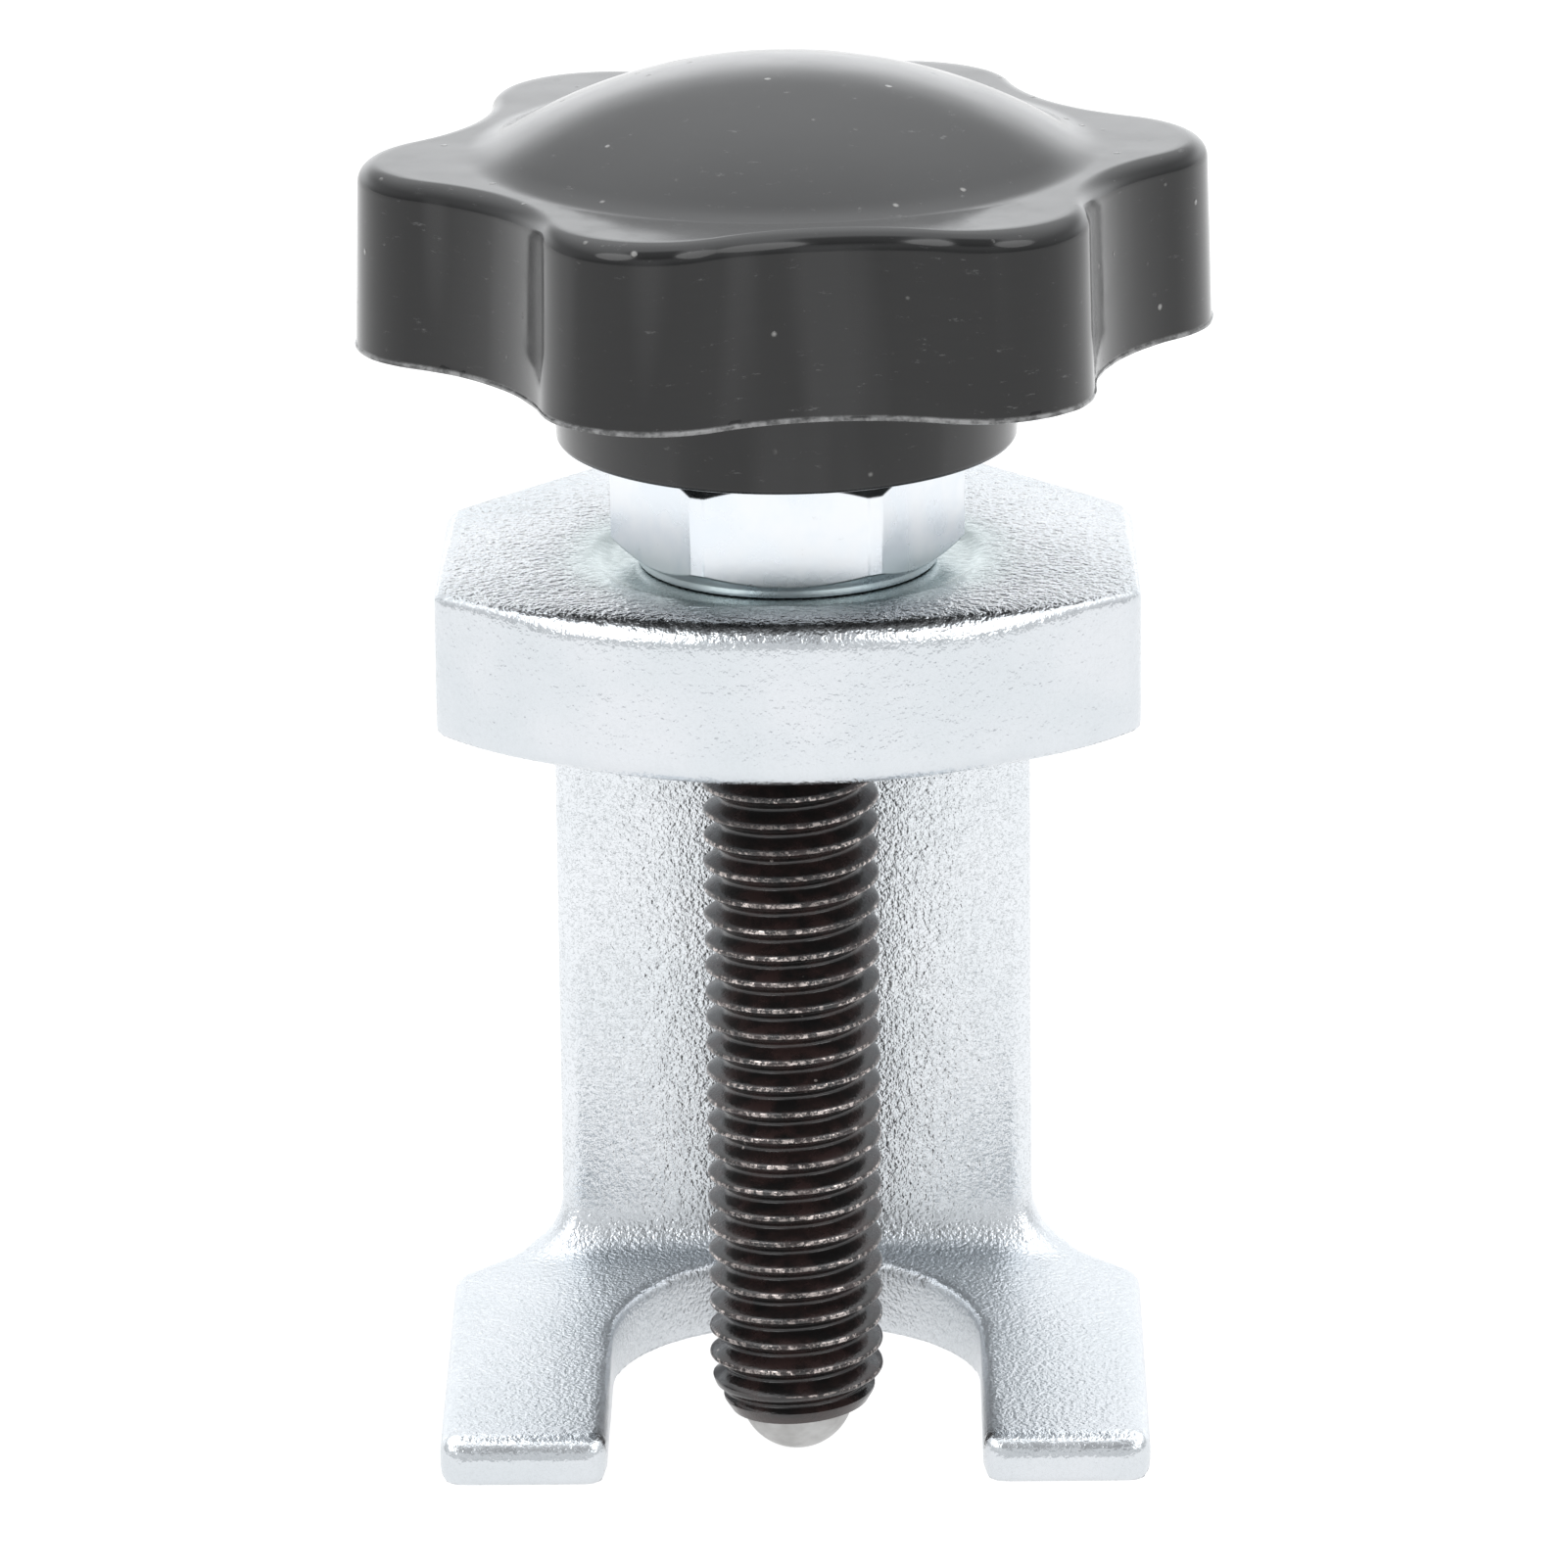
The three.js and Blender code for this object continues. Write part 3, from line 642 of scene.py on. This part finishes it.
def boss_rings(star):
    """In under the star, down the boss, and up into the socket round the bush."""
    low, bottom = KNOB["star_low"], knob_low[2]
    base, end, edge, fillet = (KNOB[key] for key in ("boss_base", "boss_end", "boss_edge", "boss_fillet"))
    rings = [((star - 0.15) * (1 - t) + (base + fillet) * t, low) for t in (0.35, 0.7)]
    for angle in np.linspace(0, math.pi / 2, 5):
        rings.append((base + fillet * (1 - math.sin(angle)), low - fillet * (1 - math.cos(angle))))
    for angle in np.linspace(0, math.pi / 2, 6):
        rings.append((end - edge * (1 - math.cos(angle)), bottom + edge * (1 - math.sin(angle))))
    socket = insert_high[0] + 0.25
    rings.append((socket + 0.3, bottom))
    rings.append((socket, bottom + 0.3))
    rings.append((socket, insert_high[2] + 0.4))
    rings.append((0.8, insert_high[2] + 1.0))
    return rings


def make_knob():
    """The knob as rings from the crown of the dome, out over the star, and back in under the boss."""
    steps = 432
    angles = np.linspace(0, 2 * math.pi, steps, endpoint=False)
    star = star_radius(angles)
    rings = []
    for radius, z in top_rings(star) + side_rings(star) + boss_rings(star):
        height = np.broadcast_to(z, steps)
        rings.append(np.stack([radius * np.cos(angles), radius * np.sin(angles), height], 1))
    rings.reverse()
    vertices = [(0, 0, insert_high[2] + 1.0), *np.concatenate(rings), (0, 0, knob_high[2])]
    return new_object("star_knob_moulding", vertices, capped_faces(len(rings), steps), 42)


# ---------------------------------------------------------------- materials

# Texture space is in metres: noise scales are per metre, and heights and bump distances are in metres.


class Nodes:
    """A small builder for the node tree of a material or of the world."""

    def __init__(self, owner):
        self.tree = owner.node_tree
        self.tree.nodes.clear()

    def add(self, kind, **settings):
        node = self.tree.nodes.new(kind)
        for key, value in settings.items():
            setattr(node, key, value)
        return node

    def link(self, source, target):
        self.tree.links.new(source, target)

    def feed(self, target, value):
        """Sets an input to a number or colour, or links it to another node's output."""
        if isinstance(value, bpy.types.NodeSocket):
            self.link(value, target)
        else:
            target.default_value = value

    def ramp(self, value, low, high, to_low=0.0, to_high=1.0):
        """A smooth rise or fall from to_low at low to to_high at high."""
        node = self.add("ShaderNodeMapRange", interpolation_type="SMOOTHSTEP")
        self.feed(node.inputs["Value"], value)
        ends = {"From Min": low, "From Max": high, "To Min": to_low, "To Max": to_high}
        for name, number in ends.items():
            node.inputs[name].default_value = number
        return node.outputs["Result"]

    def math(self, operation, a, b=0.0):
        node = self.add("ShaderNodeMath", operation=operation)
        self.feed(node.inputs[0], a)
        self.feed(node.inputs[1], b)
        return node.outputs[0]

    def plus(self, a, b):
        return self.math("ADD", a, b)

    def minus(self, a, b):
        return self.math("SUBTRACT", a, b)

    def times(self, a, b):
        return self.math("MULTIPLY", a, b)

    def rest(self, share):
        """What a share leaves of 1."""
        return self.math("SUBTRACT", 1.0, share)

    def rise(self, start, share, amount):
        """start + share * amount."""
        return self.math("ADD", start, self.math("MULTIPLY", share, amount))

    def mix(self, factor, a, b):
        node = self.add("ShaderNodeMix", data_type="RGBA")
        self.feed(node.inputs["Factor"], factor)
        for target, value in ((node.inputs[6], a), (node.inputs[7], b)):
            self.feed(target, (*value, 1.0) if isinstance(value, tuple) else value)
        return node.outputs[2]

    def bump(self, height, distance, strength=1.0, normal=None):
        node = self.add("ShaderNodeBump")
        node.inputs["Strength"].default_value = strength
        node.inputs["Distance"].default_value = distance
        self.link(height, node.inputs["Height"])
        if normal is not None:
            self.link(normal, node.inputs["Normal"])
        return node.outputs["Normal"]

    def split(self, vector):
        """The x, y and z of a vector."""
        node = self.add("ShaderNodeSeparateXYZ")
        self.link(vector, node.inputs[0])
        return node.outputs

    def upness(self):
        """1 where the surface faces up, 0 on a wall and -1 where it faces down."""
        return self.split(self.add("ShaderNodeNewGeometry").outputs["Normal"])[2]


class Finish(Nodes):
    """A new material round one principled shader, with textures in object space."""

    def __init__(self, name):
        self.material = bpy.data.materials.new(name)
        self.material.use_nodes = True
        super().__init__(self.material)
        self.shader = self.add("ShaderNodeBsdfPrincipled")
        output = self.add("ShaderNodeOutputMaterial")
        self.link(self.shader.outputs[0], output.inputs[0])
        self.coords = self.add("ShaderNodeTexCoord").outputs["Object"]

    def noise(self, scale, detail, roughness, vector=None):
        node = self.add("ShaderNodeTexNoise")
        self.link(vector or self.coords, node.inputs["Vector"])
        node.inputs["Scale"].default_value = scale
        node.inputs["Detail"].default_value = detail
        node.inputs["Roughness"].default_value = roughness
        return node.outputs["Fac"]

    def voronoi(self, scale):
        """Distance to the nearest of many scattered points."""
        node = self.add("ShaderNodeTexVoronoi", feature="F1")
        self.link(self.coords, node.inputs["Vector"])
        node.inputs["Scale"].default_value = scale
        return node.outputs["Distance"]

    def stretch(self, scale):
        """Texture coordinates multiplied by a scale for each axis."""
        node = self.add("ShaderNodeMapping")
        self.link(self.coords, node.inputs["Vector"])
        node.inputs["Scale"].default_value = scale
        return node.outputs["Vector"]

    def axis_radius(self):
        """Distance from the Z axis, in metres."""
        x, y, _ = self.split(self.coords)
        return self.math("SQRT", self.plus(self.math("POWER", x, 2.0), self.math("POWER", y, 2.0)))

    def height(self):
        """Height above the frame's origin, in metres."""
        return self.split(self.coords)[2]

    def set(self, **inputs):
        for name, value in inputs.items():
            self.feed(self.shader.inputs[name.replace("_", " ")], value)
        return self.material


def zinc_forging():
    """Bright zinc over a shot-blasted forging: orange-peel grain, mottling, a smooth ring round the nut
    darkened by painted shade, and painted light on the web and fork.
    """
    n = Finish("zinc_forging")
    fine = n.noise(4600, 2.0, 0.55)
    blast = n.noise(2300, 2.0, 0.6)
    lumps = n.noise(160, 2.0, 0.5)
    radius, height = n.axis_radius(), n.height()

    # Shares from 0 to 1 that say where on the forging a point is.
    spot = SPOT_Z * MM
    wobble = n.times(n.noise(330, 2.0, 0.5), 0.0016)
    under_nut = n.ramp(n.plus(radius, wobble), 0.0112, 0.0144, 1.0, 0.0)
    on_spot = n.times(under_nut, n.ramp(height, spot - 0.0012, spot - 0.0009))
    level_face = n.ramp(n.math("ABSOLUTE", n.upness()), 0.88, 0.985)
    on_plate = n.ramp(height, 0.040, 0.042)
    plate_side = n.times(on_plate, n.rest(level_face))
    above_foot = n.ramp(height, (FORK_Z + 4.4) * MM, (FORK_Z + 9.0) * MM, 0.1, 1.0)
    on_web = n.times(n.minus(above_foot, on_plate), n.rest(level_face))
    tip = FORK["tip_y"]
    behind_nose = n.ramp(n.split(n.coords)[1], (tip + 0.9) * MM, (tip + 2.2) * MM)
    on_fork = n.times(n.ramp(height, (FORK_Z + 3.6) * MM, (FORK_Z + 9.0) * MM, 1.0, 0.0), behind_nose)

    # Relief: broad dents on the plate's sides, the blasted grain, and a finer grain on web and fork.
    dents = n.times(n.noise(560, 2.0, 0.5), n.rise(0.25, plate_side, 0.75))
    patchy = n.ramp(n.noise(110, 2.0, 0.5), 0.35, 0.65, 0.75, 1.0)
    plate_blast = n.times(on_plate, n.rise(0.18, level_face, 0.77))
    fork_blast = n.times(n.rest(on_plate), n.rise(0.10, level_face, 0.09))
    grain = n.times(patchy, n.plus(plate_blast, fork_blast))
    grain = n.times(grain, n.rest(n.times(on_spot, 0.93)))
    fine_grain = n.rise(n.rise(0.18, on_web, 0.32), on_fork, 0.42)
    fine_grain = n.times(fine_grain, n.rest(n.times(on_spot, 0.9)))
    normal = n.bump(dents, 0.00010, 0.8)
    normal = n.bump(n.times(blast, grain), 0.00042, 0.9, normal)
    normal = n.bump(n.times(fine, fine_grain), 0.00010, 0.9, normal)

    # Colour: bluish zinc, dark in the pits, the web and fork made lighter by painted light, greenish round
    # the nut and darkened there by painted shade.
    dips = n.times(n.ramp(blast, 0.46, 0.30), n.times(grain, 0.55))
    wrinkle = n.ramp(n.math("ABSOLUTE", n.minus(n.noise(2900, 2.0, 0.6), 0.5)), 0.036, 0.010)
    specks = n.math("MAXIMUM", n.times(wrinkle, 0.75), n.ramp(fine, 0.40, 0.28))
    specks = n.times(specks, n.rise(0.10, n.math("MAXIMUM", on_web, on_fork), 0.50))
    colour = n.mix(n.ramp(lumps, 0.3, 0.7), (0.575, 0.605, 0.63), (0.62, 0.64, 0.665))
    # Painted light: the web's walls are made lighter than the rest of the zinc.
    colour = n.mix(n.times(on_web, 0.35), colour, (0.84, 0.865, 0.89))
    colour = n.mix(n.math("MAXIMUM", dips, specks), colour, (0.36, 0.38, 0.39))
    # The faced spot's own greenish tone, with painted shade darkening it round the nut's foot.
    colour = n.mix(n.times(on_spot, 0.9), colour, (0.41, 0.475, 0.475))
    # Painted light: the fork is made lighter than the rest of the zinc.
    colour = n.mix(n.times(on_fork, 0.28), colour, (0.74, 0.77, 0.80))
    rough = n.rise(n.ramp(blast, 0.3, 0.7, 0.17, 0.26), on_spot, 0.06)
    rough = n.rise(rough, on_fork, 0.12)
    return n.set(Base_Color=colour, Metallic=1.0, Roughness=rough, Normal=normal)


def zinc_nut():
    """Smooth bright zinc with faint handling marks."""
    n = Finish("zinc_nut")
    cloud = n.noise(260, 3.0, 0.6)
    fine = n.noise(2600, 2.0, 0.5)
    marks = n.ramp(n.noise(900, 4.0, 0.75), 0.66, 0.74)
    colour = n.mix(n.ramp(cloud, 0.35, 0.65), (0.69, 0.73, 0.77), (0.77, 0.79, 0.81))
    colour = n.mix(n.times(marks, 0.35), colour, (0.50, 0.51, 0.50))
    rough = n.ramp(cloud, 0.3, 0.7, 0.25, 0.33)
    return n.set(Base_Color=colour, Metallic=1.0, Roughness=rough, Normal=n.bump(fine, 0.00001, 0.4))


def black_oxide():
    """Oiled black oxide, brown in places, rubbed bare along the crests and dusted with filings."""
    n = Finish("black_oxide")
    crest = n.ramp(n.axis_radius(), (CREST - 0.09) * MM, (CREST - 0.02) * MM)
    patch = n.ramp(n.noise(330, 4.0, 0.65), 0.38, 0.58)
    nicks = n.ramp(n.noise(2600, 4.0, 0.8), 0.47, 0.60)
    worn = n.times(crest, n.times(n.rise(0.25, patch, 0.75), nicks))
    crumbs = n.ramp(n.voronoi(760), 0.085, 0.04)
    filings = n.times(crumbs, n.ramp(n.noise(500, 1.0, 0.5), 0.54, 0.60))
    bright = n.math("MAXIMUM", worn, n.times(filings, 0.7))
    stain = n.ramp(n.noise(620, 3.0, 0.6), 0.35, 0.7)
    at_end = n.ramp(n.height(), (SCREW["low"] + 1.1) * MM, (SCREW["low"] + 0.5) * MM)
    base = n.mix(n.math("MAXIMUM", stain, at_end), (0.005, 0.0045, 0.0045), (0.022, 0.011, 0.010))
    colour = n.mix(bright, base, (0.62, 0.55, 0.52))
    rough = n.ramp(stain, 0.0, 1.0, 0.18, 0.30)
    grit = n.noise(5200, 2.0, 0.6)
    return n.set(
        Base_Color=colour, Metallic=bright, Roughness=rough,
        Normal=n.bump(grit, 0.00003, 0.6), Specular_IOR_Level=0.6,
    )


def ground_ball():
    """Satin ground steel with fine rolling marks."""
    n = Finish("ground_ball")
    lines = n.noise(1800, 3.0, 0.6, vector=n.stretch((1.0, 1.0, 4.0)))
    cloud = n.noise(500, 3.0, 0.6)
    colour = n.mix(n.ramp(cloud, 0.35, 0.7), (0.37, 0.365, 0.36), (0.48, 0.48, 0.475))
    rough = n.ramp(lines, 0.3, 0.7, 0.36, 0.48)
    return n.set(Base_Color=colour, Metallic=1.0, Roughness=rough, Normal=n.bump(lines, 0.00001, 0.4))


def gloss_moulding():
    """Glossy black thermoset: soft ripple, upright bands of painted reflection on its sides, faint scuffs
    and dust.
    """
    n = Finish("gloss_moulding")
    ripple = n.noise(120, 2.0, 0.45)
    haze = n.noise(420, 4.0, 0.6)
    scuff = n.ramp(n.noise(700, 5.0, 0.8, vector=n.stretch((1.0, 1.0, 3.5))), 0.62, 0.70)
    dust = n.times(n.ramp(n.voronoi(520), 0.115, 0.04), n.ramp(n.noise(260, 1.0, 0.5), 0.53, 0.60))
    streak = n.noise(330, 3.0, 0.6, vector=n.stretch((1.0, 1.0, 9.0)))

    # Painted reflection: upright light and dark bands on the sides, fading to an even tone on the dome.
    even = 0.42
    marks = n.ramp(n.noise(170, 2.0, 0.5, vector=n.stretch((1.0, 1.0, 0.12))), 0.44, 0.58)
    painted_reflection = n.plus(even, n.times(n.ramp(n.upness(), 0.45, 0.15), n.minus(marks, even)))
    # The painted sheen is the reflection bands plus faint streaks, and it lifts the black colour towards
    # grey.
    painted_sheen = n.plus(n.times(painted_reflection, 0.8), n.times(streak, 0.2))
    colour = n.mix(painted_sheen, (0.0005, 0.0005, 0.0006), (0.015, 0.015, 0.0153))
    colour = n.mix(n.times(scuff, 0.30), colour, (0.16, 0.16, 0.16))
    colour = n.mix(n.times(dust, 0.55), colour, (0.34, 0.335, 0.325))

    # A pale, broken line of flash along the star's lower rim.
    from_rim = n.minus(n.height(), (KNOB["star_low"] + 0.1) * MM)
    flash = n.ramp(n.math("ABSOLUTE", from_rim), 0.00030, 0.00012)
    flash = n.times(flash, n.ramp(n.axis_radius(), 0.0150, 0.0160))
    flash = n.times(flash, n.ramp(n.noise(900, 3.0, 0.7), 0.38, 0.62, 0.25, 1.0))
    colour = n.mix(n.times(flash, 0.7), colour, (0.30, 0.30, 0.30))
    rough = n.rise(n.ramp(haze, 0.3, 0.75, 0.09, 0.17), scuff, 0.12)
    normal = n.bump(dust, 0.00008, 0.6, normal=n.bump(ripple, 0.00030, 0.25))
    return n.set(
        Base_Color=colour, Roughness=rough, Normal=normal, IOR=1.46,
        Sheen_Weight=0.16, Sheen_Roughness=0.35,
    )


def turned_brass():
    """Plain turned brass for the bush inside the knob."""
    n = Finish("turned_brass")
    rings = n.noise(2600, 2.0, 0.5, vector=n.stretch((0.4, 0.4, 6.0)))
    cloud = n.noise(400, 3.0, 0.6)
    colour = n.mix(n.ramp(cloud, 0.3, 0.7), (0.58, 0.42, 0.18), (0.72, 0.55, 0.27))
    rough = n.ramp(rings, 0.3, 0.7, 0.28, 0.42)
    return n.set(Base_Color=colour, Metallic=1.0, Roughness=rough, Normal=n.bump(rings, 0.00003, 0.6))


# ---------------------------------------------------------------- assembly

PIECES = [
    (make_frame, zinc_forging, "frame", "frame_body", "zinc_forging"),
    (make_screw, black_oxide, "pressure_screw", "screw_body", "black_oxide_steel"),
    (make_ball, ground_ball, "tip_ball", "tip_body", "ground_steel"),
    (make_nut, zinc_nut, "hex_nut", "screw_body", "zinc_nut"),
    (make_knob, gloss_moulding, "star_knob", "screw_body", "black_moulding"),
]
for make, finish, node, body, slot in PIECES:
    piece = make()
    piece.data.materials.clear()
    piece.data.materials.append(finish())
    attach(piece, body)
    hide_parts(node)

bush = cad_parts["knob_insert"]
brass = turned_brass()
for material_slot in bush.material_slots:
    material_slot.material = brass

# ---------------------------------------------------------------- studio and camera

# The floor's and the surround's strengths, and how much dimmer the surround is above the camera.
FLOOR_GLOW = 0.90
SIDE_LIGHT = 0.95
BACK_LIGHT = 1.1
TOP_LIGHT = 2.4
CAMERA_SHADE = 0.70
# Each light's name, place in metres, diameter in metres and power in watts.
LIGHTS = [
    ("left_box", (-0.54, -0.54, 0.62), 0.60, 2.0),
    ("right_box", (0.54, -0.54, 0.62), 0.60, 1.7),
]
# Angles in degrees, distance in metres, the lens for a sensor 36 mm wide, and the aim above the fork.
CAMERA = dict(
    elevation=16.93, yaw=0.58, roll=0.62, distance=0.5365, lens=226.1, sensor=36, aim=38,
    shift_x=-0.0038, shift_y=-0.0290,
)


def studio():
    """A white light table, a soft surround that is dimmer above the camera, and two broad lights."""
    scene = bpy.context.scene
    reach = 6000
    corners = [(-reach, -reach, 0), (reach, -reach, 0), (reach, reach, 0), (-reach, reach, 0)]
    floor = new_object("floor", corners, [(0, 1, 2, 3)])
    paint = Finish("floor_paint")
    tone = paint.noise(3.0, 3.0, 0.5)
    colour = paint.mix(tone, (0.24, 0.24, 0.24), (0.26, 0.26, 0.26))
    floor.data.materials.append(paint.set(
        Base_Color=colour, Roughness=0.9, Specular_IOR_Level=0.0,
        Emission_Color=(1.0, 1.0, 1.0, 1.0), Emission_Strength=FLOOR_GLOW,
    ))

    world = bpy.data.worlds.new("surround")
    world.use_nodes = True
    sky = Nodes(world)
    across, along, upward = sky.split(sky.add("ShaderNodeTexCoord").outputs["Generated"])
    overhead = sky.ramp(upward, 0.40, 0.97, SIDE_LIGHT, TOP_LIGHT)
    behind = sky.times(sky.ramp(along, 0.3, 0.8), sky.ramp(upward, 0.48, 0.12, 0.0, BACK_LIGHT))
    glow = sky.times(sky.plus(overhead, behind), sky.ramp(upward, 0.0, 0.30, 0.75, 1.0))
    ahead = sky.times(sky.ramp(sky.math("ABSOLUTE", across), 0.40, 0.22), sky.ramp(along, -0.1, -0.4))
    ahead = sky.times(ahead, sky.ramp(upward, 0.40, 0.60))
    level = sky.times(glow, sky.rest(sky.times(ahead, CAMERA_SHADE)))
    background = sky.add("ShaderNodeBackground")
    background.inputs["Color"].default_value = (0.97, 0.985, 1.0, 1)
    sky.link(level, background.inputs["Strength"])
    sky.link(background.outputs[0], sky.add("ShaderNodeOutputWorld").inputs[0])
    scene.world = world

    for name, place, size, power in LIGHTS:
        light = bpy.data.lights.new(name, "AREA")
        light.shape = "DISK"
        light.size = size
        light.energy = power
        holder = bpy.data.objects.new(name, light)
        holder.location = place
        aim = Vector((0, 0, 0.045)) - holder.location
        holder.rotation_euler = aim.to_track_quat("-Z", "Y").to_euler()
        scene.collection.objects.link(holder)
    scene.view_settings.view_transform = "Standard"


def camera():
    """The photograph's viewing angle: nearly square on, looking down 17 degrees from about half a metre."""
    elevation, yaw, roll = (math.radians(CAMERA[key]) for key in ("elevation", "yaw", "roll"))
    target = Vector((0, 0, CAMERA["aim"] * MM + FORK_Z * MM))
    level = math.cos(elevation)
    back = Vector((math.sin(yaw) * level, -math.cos(yaw) * level, math.sin(elevation)))
    right = Vector((math.cos(yaw), math.sin(yaw), 0))
    up = back.cross(right)
    across = right * math.cos(roll) - up * math.sin(roll)
    upward = right * math.sin(roll) + up * math.cos(roll)
    data = bpy.data.cameras.new("camera")
    data.lens = CAMERA["lens"]
    data.sensor_width = CAMERA["sensor"]
    data.shift_x = CAMERA["shift_x"]
    data.shift_y = CAMERA["shift_y"]
    data.clip_end = 50
    holder = bpy.data.objects.new("camera", data)
    turn = Matrix((across, upward, back)).transposed().to_4x4()
    holder.matrix_world = Matrix.Translation(target + back * CAMERA["distance"]) @ turn
    bpy.context.scene.collection.objects.link(holder)
    bpy.context.scene.camera = holder


studio()
camera()

bpy.context.view_layer.update()
